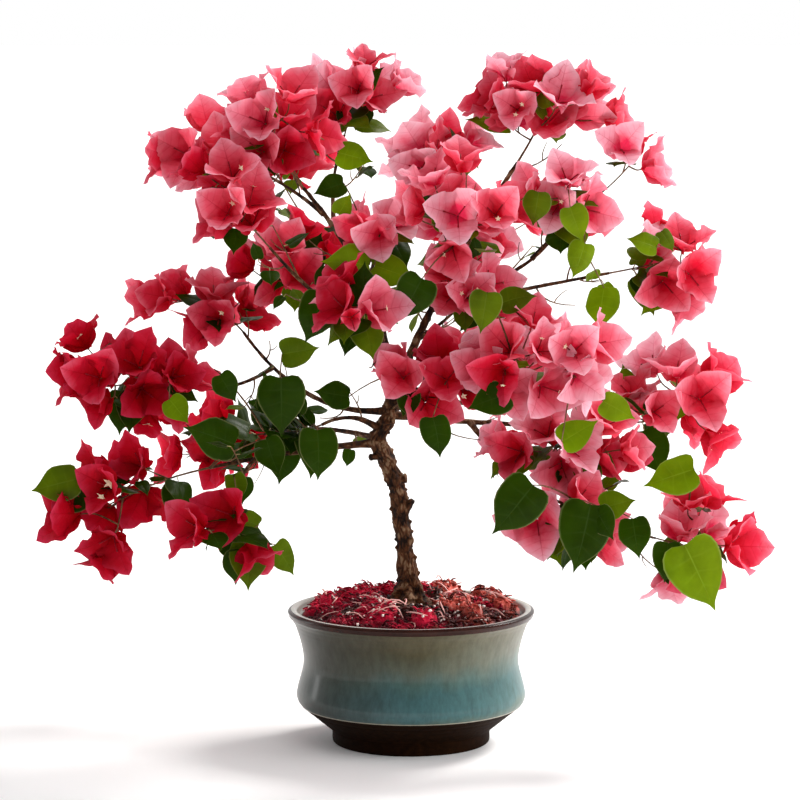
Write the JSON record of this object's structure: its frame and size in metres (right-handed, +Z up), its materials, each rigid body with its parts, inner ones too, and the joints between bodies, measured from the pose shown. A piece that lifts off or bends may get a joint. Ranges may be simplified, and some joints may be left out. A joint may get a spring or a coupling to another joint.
{
  "type": "potted bougainvillea",
  "caption": "Bougainvillea trained as a small tree, with pink and crimson bracts and heart-shaped leaves on spreading boughs, in a round glazed pot.",
  "frame": {"origin": "centre of the flat underside of the pot's foot", "axes": "+Z up along the pot's axis, +X to the right and +Y away from a viewer in front"},
  "size_m": [0.722, 0.4779, 0.6933],
  "materials": {
    "glazed_pot": "gloss glaze over an unglazed dark clay foot",
    "mulch": "matt shredded fibre",
    "bark": "matt, fissured",
    "bract_crimson": "thin and papery",
    "bract_rose": "thin and papery",
    "bract_coral": "thin and papery",
    "leaf_green": "smooth, slightly waxy"
  },
  "bodies": {
    "root": {"pot": "glazed_pot", "root_ball": "mulch", "trunk": "bark", "bough_top_left": "bark", "bough_top_right": "bark", "bough_left_spray": "bark", "bough_right_front": "bark", "bough_right_outer": "bark", "bough_left_low": "bark", "bough_left_green": "bark", "bough_back_low_left": "bark", "bough_back_right": "bark", "bough_left_shoulder": "bark", "bough_left_inner": "bark", "bough_centre_upper": "bark", "bough_centre_front": "bark", "bough_back_left": "bark", "bough_top_left_high": "bark", "bough_top_left_far": "bark", "bough_centre_high": "bark", "bough_centre_right": "bark", "bough_centre_low": "bark", "bough_back_centre": "bark", "bough_right_shoulder": "bark", "bough_right_far": "bark", "bough_top_right_far": "bark", "bough_left_mid": "bark", "bough_left_drop": "bark", "bough_right_low": "bark", "bough_right_drop": "bark", "bough_right_tip": "bark", "blooms_left_low": "bract_crimson", "blooms_left_drop": "bract_crimson", "blooms_left_mid": "bract_crimson", "blooms_left_green": "leaf_green", "blooms_left_spray": "bract_rose", "blooms_top_left_far": "bract_rose", "blooms_top_left": "bract_rose", "blooms_top_left_high": "bract_coral", "blooms_left_shoulder": "bract_rose", "blooms_left_inner": "bract_rose", "blooms_centre_upper": "bract_coral", "blooms_centre_front": "bract_rose", "blooms_centre_high": "bract_coral", "blooms_centre_right": "bract_coral", "blooms_centre_low": "bract_coral", "blooms_heart": "bract_rose", "blooms_top_right": "bract_coral", "blooms_top_right_far": "bract_coral", "blooms_right_shoulder": "bract_coral", "blooms_right_far": "bract_coral", "blooms_right_front": "bract_coral", "blooms_right_outer": "bract_coral", "blooms_right_low": "bract_coral", "blooms_right_drop": "bract_coral", "blooms_right_tip": "bract_coral", "blooms_back_left": "bract_rose", "blooms_back_low_left": "bract_crimson", "blooms_back_centre": "bract_coral", "blooms_back_right": "bract_coral"}
  },
  "joints": []
}
